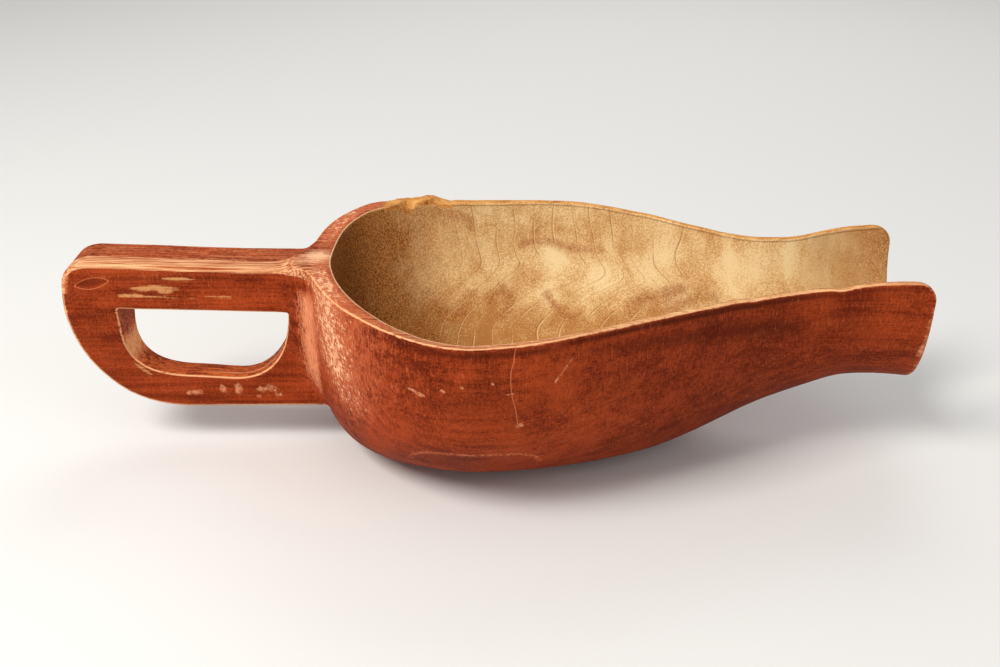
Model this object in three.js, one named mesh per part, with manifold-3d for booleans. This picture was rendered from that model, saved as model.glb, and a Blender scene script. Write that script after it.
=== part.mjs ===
// A wooden feed scoop carved from one block: a deep bowl with a round back that tapers to an open spout, and a
// loop handle in the shape of a D. Millimetres, +Z up. X runs from the handle towards the mouth and Y across.
// The origin is on the table, in the flat that the scoop stands on, below the centre of the bowl's round back.
//
// The block is shaped whole, and then parted on one flat plane at the neck into the bowl and the handle.
import * as THREE from "three";
import { mergeVertices } from "three/addons/utils/BufferGeometryUtils.js";
import Module from "manifold-3d";

const wasm = await Module();
wasm.setup();

// ---- Bowl: driving dimensions -------------------------------------------------------------------------
const BACK = 93; // from the origin back to the outside of the round end
const BACK_INSIDE = 81; // and to its inside
const MOUTH = 251; // from the origin forward to the mouth's end face
const MOUTH_CORNER = 12; // radius of the two upper corners at the mouth
const SECTION_POWER = 2.3; // 2 is an ellipse; more is squarer
const BACK_DEPTH_POWER = 4.6; // how squarely the outside turns down behind the round end
const BACK_DEPTH_POWER_INSIDE = 4;
const CUT_CLEAR = 15; // how far the hollow's cutter reaches above the rim and past the mouth

// The bowl was carved by eye, so its near (-Y) and far halves differ. Each outline is a list of [x, value]
// stations, joined by a smooth curve. Behind x = 0 a half's width falls to nothing along its own power.
const NEAR = {
  width: along([
    [-10, 115.3], [5, 115.3], [35, 109.5], [65, 97.5], [91, 84.5], [118, 70.5],
    [147, 55.5], [176, 45], [203, 41.5], [MOUTH, 43],
  ]),
  wall: along([[-BACK, 8], [-30, 5.5], [10, 5], [MOUTH, 4.7]]),
  power: 1.8,
};
const FAR = {
  width: along([
    [-10, 107.6], [10, 107.9], [47, 104.8], [78, 94], [108, 77.5], [136, 57.5],
    [164, 43.5], [194, 42], [222, 49], [MOUTH, 52],
  ]),
  wall: along([[-BACK, 9], [0, 8], [47, 6], [120, 5.3], [MOUTH, 4.7]]),
  power: 2.6,
};
const RIM = along([
  [-BACK, 117.5], [-55, 116], [-20, 113.5], [15, 113], [73, 114.5],
  [131, 113.5], [161, 112.3], [190, 113], [213, 115.5], [MOUTH, 117],
]);
const KEEL = along([
  [-30, -1], [15, -1.8], [44, -1.6], [73, -0.6], [102, 3.5],
  [131, 13.5], [161, 27.5], [190, 38.5], [213, 45.5], [MOUTH, 44.5],
]);
const FLOOR = along([[0, 11], [120, 9], [MOUTH, 6.5]]); // thickness at the keel

// ---- Handle: driving dimensions -----------------------------------------------------------------------
const GRIP_THICK = 36; // across Y, at the upper bar and above it
const LOWER_BAR_THICK = 18;
const THINS_FROM = 89; // heights between which the loop thins
const THINS_TO = 43;
const HANDLE_EDGE = 3; // the worn bevel along every edge
const NECK_FILLET = 14; // radius in plan where the handle spreads into the bowl
const NECK_START = -104; // where that spreading starts
const PARTING = -98; // plane that parts the handle from the bowl
const PARTING_GAP = 0.3;
const INTO_BOWL = -84; // the handle's root runs on to here, inside the back wall's wood
const NECK_TOP = 114;
const NECK_BOTTOM = 26;

// The loop in side view: points are [x, z], and a curve is two control points and an end point.
const LOOP = {
  topRear: [-214, 118],
  rearCorner: [-224, 118, -231.5, 113, -231.5, 102],
  rearSweep: [-232.5, 58, -216, 25, -168, 24],
};
const HOLE = {
  topRear: [-200, 90],
  rear: [-200, 78],
  rearSweep: [-201, 54, -189, 46, -165, 45],
  bottomFront: [-140, 43.5],
  frontSweep: [-118, 42.5, -107, 62, -105, 87.5],
};

const SECTION_STEPS = 34; // facets round a cross-section of the bowl
const ROUND_RINGS = 15; // cross-sections in the round back
const FIRST_TURN = 0.05; // radians from the back's rearmost point to the first of them
const TAPER_STEP = 13; // spacing of the cross-sections ahead of it
const CURVE_STEPS = 12;
const CORNER_SHARES = [0, 0.35, 0.62, 0.82, 0.95, 1]; // of the mouth's corner, where cross-sections stand

// A smooth function through stations [[x, value], ...].
function along(stations) {
  const xs = stations.map((s) => s[0]);
  const values = stations.map((s) => s[1]);
  const curve = new THREE.CubicInterpolant(xs, values, 1, new Float32Array(1));
  return (x) => curve.evaluate(x)[0];
}

// 1 ahead of the origin, falling to 0 at the round end, along a superellipse of that power.
function roundBack(x, length, power) {
  if (x >= 0) return 1;
  const share = Math.min(1, -x / length);
  return (1 - share ** power) ** (1 / power);
}

// ---- Solids -------------------------------------------------------------------------------------------
// A closed geometry through rings of [x, y, z] points, all of the same number, with a fan over each end.
function loft(rings) {
  const count = rings[0].length;
  const points = rings.flat();
  const index = [];
  for (let r = 0; r + 1 < rings.length; r++) {
    for (let i = 0; i < count; i++) {
      const a = r * count + i;
      const b = r * count + ((i + 1) % count);
      index.push(a, b, a + count, b, b + count, a + count);
    }
  }
  const last = (rings.length - 1) * count;
  for (let i = 1; i + 1 < count; i++) {
    index.push(0, i + 1, i);
    index.push(last, last + i, last + i + 1);
  }
  const geometry = new THREE.BufferGeometry();
  geometry.setAttribute("position", new THREE.Float32BufferAttribute(points.flat(), 3));
  geometry.setIndex(index);
  return geometry;
}

function solid(geometry) {
  const bare = geometry.clone();
  bare.deleteAttribute("normal");
  bare.deleteAttribute("uv");
  const merged = mergeVertices(bare, 1e-3);
  const mesh = new wasm.Mesh({
    numProp: 3,
    vertProperties: new Float32Array(merged.attributes.position.array),
    triVerts: new Uint32Array(merged.index.array),
  });
  return new wasm.Manifold(mesh);
}

function box(low, high) {
  const size = high.map((h, k) => h - low[k]);
  const centre = high.map((h, k) => (h + low[k]) / 2);
  return solid(new THREE.BoxGeometry(...size).translate(...centre));
}

// ---- Bowl ---------------------------------------------------------------------------------------------
// Rings are closest together where the back turns in, and again round the mouth's corners.
function ringPlaces(length) {
  const places = [];
  for (let i = 0; i < ROUND_RINGS; i++) {
    const turn = FIRST_TURN + (i / ROUND_RINGS) * (Math.PI / 2 - FIRST_TURN);
    places.push(-length * Math.cos(turn));
  }
  const corner = MOUTH - MOUTH_CORNER;
  const steps = Math.round(corner / TAPER_STEP);
  for (let i = 0; i < steps; i++) places.push((corner * i) / steps);
  for (const share of CORNER_SHARES) places.push(corner + MOUTH_CORNER * share);
  return places;
}

// The rim's height, with the mouth's corners rounded off.
function rimHeight(x) {
  const past = Math.min(MOUTH_CORNER, Math.max(0, x - (MOUTH - MOUTH_CORNER)));
  return RIM(x) - (MOUTH_CORNER - Math.sqrt(MOUTH_CORNER ** 2 - past ** 2));
}

// The U of one cross-section, from the near side down to the keel and up the far side.
function section(x, nearWidth, farWidth, depth) {
  const ring = [];
  for (let i = 0; i <= SECTION_STEPS; i++) {
    const turn = (Math.PI * i) / SECTION_STEPS;
    const across = Math.abs(Math.cos(turn)) ** (2 / SECTION_POWER);
    const down = Math.sin(turn) ** (2 / SECTION_POWER);
    const y = turn < Math.PI / 2 ? -nearWidth * across : farWidth * across;
    ring.push([x, y, RIM(x) - depth * down]);
  }
  return ring;
}

function bowlOutside() {
  const rings = ringPlaces(BACK).map((x) => {
    const nearWidth = NEAR.width(x) * roundBack(x, BACK, NEAR.power);
    const farWidth = FAR.width(x) * roundBack(x, BACK, FAR.power);
    const depth = (RIM(x) - KEEL(x)) * roundBack(x, BACK, BACK_DEPTH_POWER);
    const ring = section(x, nearWidth, farWidth, depth);
    return ring.map(([px, y, z]) => [px, y, Math.min(z, rimHeight(x))]);
  });
  return solid(loft(rings));
}

function bowlHollow() {
  const rings = [...ringPlaces(BACK_INSIDE), MOUTH + CUT_CLEAR].map((x) => {
    const nearWidth = (NEAR.width(x) - NEAR.wall(x)) * roundBack(x, BACK_INSIDE, NEAR.power);
    const farWidth = (FAR.width(x) - FAR.wall(x)) * roundBack(x, BACK_INSIDE, FAR.power);
    const depth = (RIM(x) - KEEL(x) - FLOOR(x)) * roundBack(x, BACK_INSIDE, BACK_DEPTH_POWER_INSIDE);
    const ring = section(x, nearWidth, farWidth, depth);
    const top = RIM(x) + CUT_CLEAR;
    return [[x, -nearWidth, top], ...ring, [x, farWidth, top]];
  });
  return solid(loft(rings));
}

// ---- Handle -------------------------------------------------------------------------------------------
function handHole() {
  const path = new THREE.Path();
  path.moveTo(...HOLE.topRear);
  path.lineTo(...HOLE.rear);
  path.bezierCurveTo(...HOLE.rearSweep);
  path.lineTo(...HOLE.bottomFront);
  path.bezierCurveTo(...HOLE.frontSweep);
  path.closePath();
  return path;
}

// Half the loop's thickness at height z.
function halfThickness(z) {
  const down = Math.min(1, Math.max(0, (THINS_FROM - z) / (THINS_FROM - THINS_TO)));
  return (GRIP_THICK + (LOWER_BAR_THICK - GRIP_THICK) * down) / 2;
}

function handleLoop() {
  const outline = new THREE.Shape();
  outline.moveTo(INTO_BOWL, NECK_BOTTOM);
  outline.lineTo(INTO_BOWL, NECK_TOP);
  outline.lineTo(...LOOP.topRear);
  outline.bezierCurveTo(...LOOP.rearCorner);
  outline.bezierCurveTo(...LOOP.rearSweep);
  outline.closePath();
  outline.holes.push(handHole());
  const geometry = new THREE.ExtrudeGeometry(outline, {
    depth: GRIP_THICK - 2 * HANDLE_EDGE,
    bevelThickness: HANDLE_EDGE,
    bevelSize: HANDLE_EDGE,
    bevelOffset: -HANDLE_EDGE,
    bevelSegments: 3,
    curveSegments: CURVE_STEPS,
  });
  geometry.rotateX(Math.PI / 2);
  geometry.translate(0, GRIP_THICK / 2 - HANDLE_EDGE, 0);
  const at = geometry.attributes.position;
  for (let i = 0; i < at.count; i++) {
    at.setY(i, (at.getY(i) * halfThickness(at.getZ(i))) / (GRIP_THICK / 2));
  }
  return solid(geometry);
}

// The handle's root: a tapered block that spreads sideways into the bowl along a concave fillet.
function handleRoot() {
  const bottom = [NECK_BOTTOM, NECK_BOTTOM + HANDLE_EDGE];
  const top = [NECK_TOP - HANDLE_EDGE, NECK_TOP];
  const heights = [...bottom, THINS_TO, THINS_FROM, ...top];
  const ring = (x, spread) => {
    const side = heights.map((z, i) => {
      const inset = i === 0 || i === heights.length - 1 ? HANDLE_EDGE : 0;
      return [x, halfThickness(z) + spread - inset, z];
    });
    const other = side.map(([px, y, z]) => [px, -y, z]);
    return [...side, ...other.reverse()];
  };
  const rings = [ring(NECK_START - 2, 0)];
  for (let i = 0; i <= CURVE_STEPS; i++) {
    const turn = ((Math.PI / 2) * i) / CURVE_STEPS;
    rings.push(ring(NECK_START + NECK_FILLET * Math.sin(turn), NECK_FILLET * (1 - Math.cos(turn))));
  }
  rings.push(ring(INTO_BOWL, NECK_FILLET));
  return solid(loft(rings));
}

// ---- The block, parted at the neck --------------------------------------------------------------------
const REACH = 400; // past every side of the block
const below = box([-REACH, -REACH, -REACH], [REACH, REACH, 0]);
const block = bowlOutside().add(handleLoop()).add(handleRoot()).subtract(bowlHollow()).subtract(below);

function piece(name, cut, colour, roughness) {
  const mesh = cut.getMesh();
  const geometry = new THREE.BufferGeometry();
  geometry.setAttribute("position", new THREE.Float32BufferAttribute(mesh.vertProperties, 3));
  geometry.setIndex(new THREE.BufferAttribute(mesh.triVerts, 1));
  geometry.computeVertexNormals();
  const paint = new THREE.MeshStandardMaterial({ color: colour, roughness, metalness: 0 });
  const made = new THREE.Mesh(geometry, paint);
  made.name = name;
  return made;
}

const ahead = box([PARTING + PARTING_GAP / 2, -REACH, -REACH], [REACH, REACH, REACH]);
const behind = box([-REACH, -REACH, -REACH], [PARTING - PARTING_GAP / 2, REACH, REACH]);

const scoop = new THREE.Group();
scoop.add(piece("bowl", block.intersect(ahead), 0x9a3d22, 0.55));
scoop.add(piece("handle", block.intersect(behind), 0xa9482c, 0.5));
export default scoop;
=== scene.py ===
"""The looks of a feed scoop carved from one block of maple, with worn red milk paint outside.

The scoop is one continuous carved surface. It is described by a field, a function of place that is negative in
the wood and zero on its surface, built from the bowl, its hollow, the handle's loop and the cuts that age and
use made. Distances are in millimetres up to the point where the mesh is made, which is in metres.
"""
import math
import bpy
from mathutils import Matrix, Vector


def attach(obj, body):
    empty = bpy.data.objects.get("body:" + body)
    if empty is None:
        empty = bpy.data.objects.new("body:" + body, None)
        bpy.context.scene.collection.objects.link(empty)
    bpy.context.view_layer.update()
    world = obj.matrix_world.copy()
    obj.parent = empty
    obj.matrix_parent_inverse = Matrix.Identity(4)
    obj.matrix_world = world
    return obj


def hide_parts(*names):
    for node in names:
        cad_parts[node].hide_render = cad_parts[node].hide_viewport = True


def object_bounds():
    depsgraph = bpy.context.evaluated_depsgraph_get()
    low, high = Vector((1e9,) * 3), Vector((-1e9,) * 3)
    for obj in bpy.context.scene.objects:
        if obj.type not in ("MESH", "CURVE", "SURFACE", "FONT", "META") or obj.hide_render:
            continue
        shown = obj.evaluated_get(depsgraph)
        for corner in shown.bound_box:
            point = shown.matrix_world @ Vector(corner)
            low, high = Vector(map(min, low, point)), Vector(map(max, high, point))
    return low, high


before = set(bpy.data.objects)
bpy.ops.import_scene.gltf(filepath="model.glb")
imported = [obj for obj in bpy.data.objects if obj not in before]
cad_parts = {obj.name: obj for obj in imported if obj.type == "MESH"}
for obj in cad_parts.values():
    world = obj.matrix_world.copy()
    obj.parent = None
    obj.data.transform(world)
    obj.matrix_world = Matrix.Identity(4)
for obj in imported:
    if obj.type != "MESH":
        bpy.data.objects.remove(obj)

from types import SimpleNamespace

import bpy
import numpy as np
from mathutils import Vector

MM = 0.001
CAD_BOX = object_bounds()

# ---- Driving dimensions ------------------------------------------------------------------------------------
# They follow the CAD model, but for the hollow's round end, the loop's lower outline and the neck's fillets.
# Each outline is a list of stations (x, value), joined by a smooth curve.
BACK, BACK_INSIDE = 93.0, 79.3  # from the origin back to the round end, outside and inside
MOUTH, MOUTH_CORNER = 251.0, 12.0  # from the origin forward to the mouth, and the round of its upper corners
SECTION_POWER = 2.3  # of the cross-sections: 2 is an ellipse, and more is squarer
BACK_DEPTH_POWER, BACK_DEPTH_POWER_INSIDE = 4.6, 4.0  # how squarely the round end turns down
NEAR_POWER, FAR_POWER = 1.8, 2.6  # how squarely it turns in, in plan, on each side
NEAR_WIDTH = [
    (-10, 115.3), (5, 115.3), (35, 109.5), (65, 97.5), (91, 84.5), (118, 70.5),
    (147, 55.5), (176, 45), (203, 41.5), (MOUTH, 43),
]
FAR_WIDTH = [
    (-10, 107.6), (10, 107.9), (47, 104.8), (78, 94), (108, 77.5), (136, 57.5),
    (164, 43.5), (194, 42), (222, 49), (MOUTH, 52),
]
NEAR_WALL = [(-BACK, 8), (-30, 5.5), (10, 5), (MOUTH, 4.7)]
FAR_WALL = [(-BACK, 9), (0, 8), (47, 6), (120, 5.3), (MOUTH, 4.7)]
RIM = [
    (-BACK, 117.5), (-55, 116), (-20, 113.5), (15, 113), (73, 114.5),
    (131, 113.5), (161, 112.3), (190, 113), (213, 115.5), (MOUTH, 117),
]
KEEL = [
    (-30, -1), (15, -1.8), (44, -1.6), (73, -0.6), (102, 3.5),
    (131, 13.5), (161, 27.5), (190, 38.5), (213, 45.5), (MOUTH, 44.5),
]
FLOOR = [(0, 11), (120, 9), (MOUTH, 6.5)]

GRIP_THICK, LOWER_BAR_THICK = 36.0, 18.0
THINS_FROM, THINS_TO = 89.0, 43.0  # heights between which the handle's loop thins
NECK_FILLET, NECK_FILLET_LOW, NECK_FILLET_FAR = 22.0, 5.0, 8.0  # beside the grip, under the bar, far side
LOOP_EDGE, GRIP_EDGE_MORE = 3.0, 3.0  # round of the loop's edges, and how much rounder the grip's near edge is
INTO_BOWL = -60.0  # the loop's outline runs on to here, inside the bowl
NECK_TOP, NECK_BOTTOM = 114.0, 24.0  # its heights there
HOLE_ROUND, MOUTH_ROUND, HOLLOW_ROUND = 3.4, 1.6, 1.5  # rounds along the hand hole, the mouth and the rim
PARED_ROUND, SPLIT_ROUND, BASE_ROUND = 0.8, 0.7, 2.0  # and along the pared strip, the splits and the base
GRID = 1.0  # spacing of the grid that the surface is found on


def along(stations):
    """A smooth function of x through stations (x, value), by cubic pieces whose ends don't curve."""
    xs, values = np.array(stations, float).T
    slope = np.empty_like(values)
    slope[1:-1] = (values[2:] - values[:-2]) / (xs[2:] - xs[:-2])
    slope[0] = 1.5 * (values[1] - values[0]) / (xs[1] - xs[0]) - 0.5 * slope[1]
    slope[-1] = 1.5 * (values[-1] - values[-2]) / (xs[-1] - xs[-2]) - 0.5 * slope[-2]
    fine = np.linspace(xs[0], xs[-1], 1500)
    k = np.clip(np.searchsorted(xs, fine, side="right") - 1, 0, len(xs) - 2)
    span = xs[k + 1] - xs[k]
    t = (fine - xs[k]) / span
    left = values[k] * (1 + 2 * t) * (1 - t) ** 2 + slope[k] * span * t * (1 - t) ** 2
    right = values[k + 1] * t**2 * (3 - 2 * t) + slope[k + 1] * span * t**2 * (t - 1)
    return lambda x: np.interp(x, fine, left + right)


near_width, far_width = along(NEAR_WIDTH), along(FAR_WIDTH)
near_wall, far_wall = along(NEAR_WALL), along(FAR_WALL)
rim, keel, floor_thick = along(RIM), along(KEEL), along(FLOOR)


# ---- Working with fields -----------------------------------------------------------------------------------
def step(value, low, high):
    """0 at low and 1 at high, smoothly."""
    t = np.clip((value - low) / (high - low), 0, 1)
    return t * t * (3 - 2 * t)


def join(a, b, blend):
    """The union of two fields with a fillet of about that radius."""
    near = np.maximum(blend - np.abs(a - b), 0) / blend
    return np.minimum(a, b) - near * near * blend / 4


def cut(a, b, blend):
    """The intersection of two fields, with the edge rounded off."""
    return -join(-a, -b, blend)


def rounded(a, b, radius):
    """The intersection of two fields at right angles, with a true round of that radius along the edge."""
    a, b = a + radius, b + radius
    return np.minimum(np.maximum(a, b), 0) + np.hypot(np.maximum(a, 0), np.maximum(b, 0)) - radius


NOISE_GAIN = 1.35  # brings the noise out to about -1 and 1


def noise(p, size, seed):
    """Smooth noise at x, y and z arrays p, with features of that size: one number, or one for each axis."""
    q = [c / s for c, s in zip(p, size)] if isinstance(size, tuple) else [c / size for c in p]
    cell = [np.floor(c).astype(np.int64) for c in q]
    part = [c - i for c, i in zip(q, cell)]
    fade = [t * t * t * (t * (t * 6 - 15) + 10) for t in part]
    total = 0
    for corner in range(8):
        bits = [corner >> k & 1 for k in range(3)]
        # The corner's whole numbers are hashed to 32 bits, and ten of those for each axis give its slope.
        key = (cell[0] + bits[0]) * 73856093 ^ (cell[1] + bits[1]) * 19349663 ^ (cell[2] + bits[2]) * 83492791
        key = (key ^ seed * 2654435761) & 0xFFFFFFFF
        key = (key ^ key >> 15) * 2246822519 & 0xFFFFFFFF
        key = (key ^ key >> 13) * 3266489917 & 0xFFFFFFFF
        key = key ^ key >> 16
        weight = 1
        lean = 0
        for k in range(3):
            weight = weight * (fade[k] if bits[k] else 1 - fade[k])
            lean = lean + ((key >> 10 * k & 1023) / 511.5 - 1) * (part[k] - bits[k])
        total = total + weight * lean
    return total * NOISE_GAIN


# ---- The bowl and its hollow -------------------------------------------------------------------------------
SOFT_FROM, SOFT_OVER = 0.9, 0.095  # near the round end the share of the way back is eased, and stays under 1
SLOPE_REACH, LEAST_SLOPE = 0.3, 0.004  # the step that a basin's slope is taken over, and the least that is used


def basin(x, y, z, back, depth_power, near, far, depth):
    """A basin open at the rim: superellipse cross-sections, and a round end at x = -back."""

    def level(x, y, z):
        power = NEAR_POWER + (FAR_POWER - NEAR_POWER) * step(y, -30, 30)
        width = np.where(y < 0, near, far)
        behind = np.clip(-x / back, 0, None)
        eased = SOFT_FROM + SOFT_OVER * np.tanh((behind - SOFT_FROM) / SOFT_OVER)
        inner = np.where(behind < SOFT_FROM, behind, eased)
        n = SECTION_POWER
        squeeze = (1 - inner**power) ** (n / power) / (1 - inner**depth_power) ** (n / depth_power)
        below = np.maximum(rim(x) - z, 0)
        across = (np.abs(y) / width) ** n + squeeze * (below / depth) ** n
        return (across ** (power / n) + behind**power) ** (1 / power)

    here, reach = level(x, y, z), SLOPE_REACH
    slope = np.sqrt(
        (level(x + reach, y, z) - here) ** 2
        + (level(x, y + reach, z) - here) ** 2
        + (level(x, y, z + reach) - here) ** 2
    ) / reach
    return (here - 1) / np.maximum(slope, LEAST_SLOPE)


def bowl_outside(x, y, z):
    return basin(x, y, z, BACK, BACK_DEPTH_POWER, near_width(x), far_width(x), rim(x) - keel(x))


def bowl_hollow(x, y, z):
    near, far = near_width(x) - near_wall(x), far_width(x) - far_wall(x)
    depth = rim(x) - keel(x) - floor_thick(x)
    return basin(x, y, z, BACK_INSIDE, BACK_DEPTH_POWER_INSIDE, near, far, depth)


# ---- The handle --------------------------------------------------------------------------------------------
def bezier(start, controls, count=26):
    """Points along a curve from start, through two control points to the end point, without start itself."""
    (x0, z0), (x1, z1, x2, z2, x3, z3) = start, controls
    t = np.linspace(0, 1, count)[1:]
    weights = [(1 - t) ** 3, 3 * t * (1 - t) ** 2, 3 * t * t * (1 - t), t**3]
    xs = weights[0] * x0 + weights[1] * x1 + weights[2] * x2 + weights[3] * x3
    zs = weights[0] * z0 + weights[1] * z1 + weights[2] * z2 + weights[3] * z3
    return list(zip(xs, zs))


LOOP = [(INTO_BOWL, NECK_BOTTOM), (INTO_BOWL, NECK_TOP), (-130, 114.9), (-214, 118)]
LOOP += bezier(LOOP[-1], (-224, 118, -231.5, 113, -231.5, 102))
LOOP += bezier(LOOP[-1], (-232.5, 58, -216, 24.5, -168, 23.3), 40)
HOLE = [(-105, 87.5), (-200, 90), (-200, 78)]
HOLE += bezier(HOLE[-1], (-201, 54, -189, 46, -165, 45))
HOLE += [(-140, 43.5)]
HOLE += bezier(HOLE[-1], (-118, 42.5, -107, 62, -105, 87.5))[:-1]


def outline_field(points, low=(-245.0, 8.0), high=(-40.0, 132.0), pitch=0.5):
    """Signed distance to a closed outline in side view, looked up in a table."""
    xs, zs = np.arange(low[0], high[0], pitch), np.arange(low[1], high[1], pitch)
    x, z = np.meshgrid(xs, zs, indexing="ij")
    best = np.full(x.shape, 1e9)
    inside = np.zeros(x.shape, bool)
    for (ax, az), (bx, bz) in zip(points, points[1:] + points[:1]):
        ex, ez = bx - ax, bz - az
        t = np.clip(((x - ax) * ex + (z - az) * ez) / (ex * ex + ez * ez), 0, 1)
        best = np.minimum(best, np.hypot(x - ax - t * ex, z - az - t * ez))
        if ez:
            crossing = ax + (z - az) / ez * ex
            inside ^= ((az > z) != (bz > z)) & (x < crossing)
    table = np.where(inside, -best, best)

    def look_up(x, z):
        i = np.clip((x - low[0]) / pitch, 0, len(xs) - 1.001)
        k = np.clip((z - low[1]) / pitch, 0, len(zs) - 1.001)
        i0, k0 = i.astype(int), k.astype(int)
        u, v = i - i0, k - k0
        lower = table[i0, k0] * (1 - u) + table[i0 + 1, k0] * u
        upper = table[i0, k0 + 1] * (1 - u) + table[i0 + 1, k0 + 1] * u
        return lower * (1 - v) + upper * v

    return look_up


loop_field, hole_field = outline_field(LOOP), outline_field(HOLE)


def handle_half(z):
    """Half the loop's thickness, which falls from the grip to the lower bar."""
    down = np.clip((THINS_FROM - z) / (THINS_FROM - THINS_TO), 0, 1)
    return (GRIP_THICK + (LOWER_BAR_THICK - GRIP_THICK) * down) / 2


def handle(x, y, z):
    """The handle without its hand hole."""
    edge = LOOP_EDGE + GRIP_EDGE_MORE * step(z, 85, 110) * step(-y, -6, 6)
    return rounded(loop_field(x, z), np.abs(y) - handle_half(z), edge)


# ---- The block, with the cuts that age and use made --------------------------------------------------------
PARED_FROM, PARED_TO, PARED_DEPTH = -33.0, 36.0, 0.85  # a strip pared flat, low on the near side
PARED_TILT = math.radians(42)  # how far below level the strip faces
BROKEN_FROM, BROKEN_TO = -60.0, -13.0  # the stretch of the far rim that is broken
SPLIT_SCALE = 0.7  # brings the slope of the splits' field back to about 1


def bump(value, middle, half_width):
    """1 at the middle, falling away smoothly to 0.37 at the half width and to nothing beyond twice that."""
    return np.exp(-(((value - middle) / half_width) ** 2))


def far_break(x, y):
    """1 along the broken stretch of the far rim, and 0 elsewhere."""
    return step(y, 20, 30) * step(x, BROKEN_FROM, BROKEN_FROM + 7) * (1 - step(x, BROKEN_TO - 4, BROKEN_TO))


def rim_top(x, y):
    """The rim's height, with the notch and nicks of the near side and the ragged crest of the far side.

    It rises behind the bowl, to clear the handle.
    """
    ragged = noise((x, y, 0 * x), 4.5, 5)
    crest = far_break(x, y) * (3.6 * bump(x, -30, 9) + 2.2 * bump(x, -47, 8) + 0.7 * ragged - 0.4)
    notch = 1.4 * bump(x, 200, 5) + 0.5 * bump(x, 208, 6) + 0.5 * bump(x, 151, 3)
    shoulder = 1.2 * bump(x, -67, 13) * step(y, 15, 40)
    worn = shoulder + 0.25 * noise((x, y, 0 * x), 13, 8)
    return rim(x) + 4 * step(-x, 95, 112) + crest - step(-y, 5, 10) * notch + worn * (1 - step(-x, 80, 95))


def pared_field(x, y, z):
    """A strip pared flat across, which follows the bowl's length and runs out at both ends."""
    behind = np.clip(-x / BACK, 0, 0.99)
    width = near_width(x) * (1 - behind**NEAR_POWER) ** (1 / NEAR_POWER)
    depth = (rim(x) - keel(x)) * (1 - behind**BACK_DEPTH_POWER) ** (1 / BACK_DEPTH_POWER)
    across, down = math.cos(PARED_TILT), math.sin(PARED_TILT)
    dual = SECTION_POWER / (SECTION_POWER - 1)
    reach = ((across * width) ** dual + (down * depth) ** dual) ** (1 / dual) - down * rim(x)
    along_strip = np.abs(2 * x - PARED_FROM - PARED_TO) / (PARED_TO - PARED_FROM)
    pared = PARED_DEPTH * (1 - np.minimum(along_strip, 3) ** 6)
    return pared - reach - across * y - down * z


def body_field(x, y, z):
    """The bowl and the handle's loop grown together, with neither hollow nor hand hole."""
    fillet = NECK_FILLET_LOW + (NECK_FILLET - NECK_FILLET_LOW) * step(z, 22, 60)
    fillet = fillet + (np.minimum(fillet, NECK_FILLET_FAR) - fillet) * step(y, -3, 12)
    return join(bowl_outside(x, y, z), handle(x, y, z), fillet)


def scoop_field(x, y, z):
    """The whole scoop."""
    top = rim_top(x, y)
    hollow = bowl_hollow(x, y, z)
    block = cut(body_field(x, y, z), -hole_field(x, z), HOLE_ROUND)
    block = cut(block, rounded(x - MOUTH, z - top, MOUTH_CORNER), MOUTH_ROUND)
    block = cut(block, -hollow, HOLLOW_ROUND)
    block = cut(block, pared_field(x, y, z), PARED_ROUND)
    splits = 5.5 * bump(x, -43, 5) + 2.6 * bump(x, -24, 6) + 1.4 * noise((x, y, z), 3.2, 6)
    splits = splits * far_break(x, y) - 4 * (1 - far_break(x, y))
    block = cut(block, (splits - (top - z) - hollow) * SPLIT_SCALE, SPLIT_ROUND)
    return cut(block, -z, BASE_ROUND)


# ---- From the field to a mesh ------------------------------------------------------------------------------
LEAST_SLOPE_SQUARED = 0.05  # that settling divides by


def sample_grid(field, low, high):
    """The field on a grid. It is worked out finely only near the surface, which a coarse grid finds first."""
    coarse_by = 4
    counts = [int(math.ceil((h - l) / GRID / coarse_by)) * coarse_by for l, h in zip(low, high)]
    axes = [l + GRID * np.arange(n) for l, n in zip(low, counts)]
    middles = [a[::coarse_by] + GRID * (coarse_by - 1) / 2 for a in axes]
    rough = field(*np.meshgrid(*middles, indexing="ij"))
    values = rough.astype(np.float32)
    for axis in range(3):
        values = values.repeat(coarse_by, axis=axis)
    close = np.nonzero(np.abs(values) < 1.5 * coarse_by * GRID)
    values[close] = field(*(a[i] for a, i in zip(axes, close)))
    return axes, values


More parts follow.
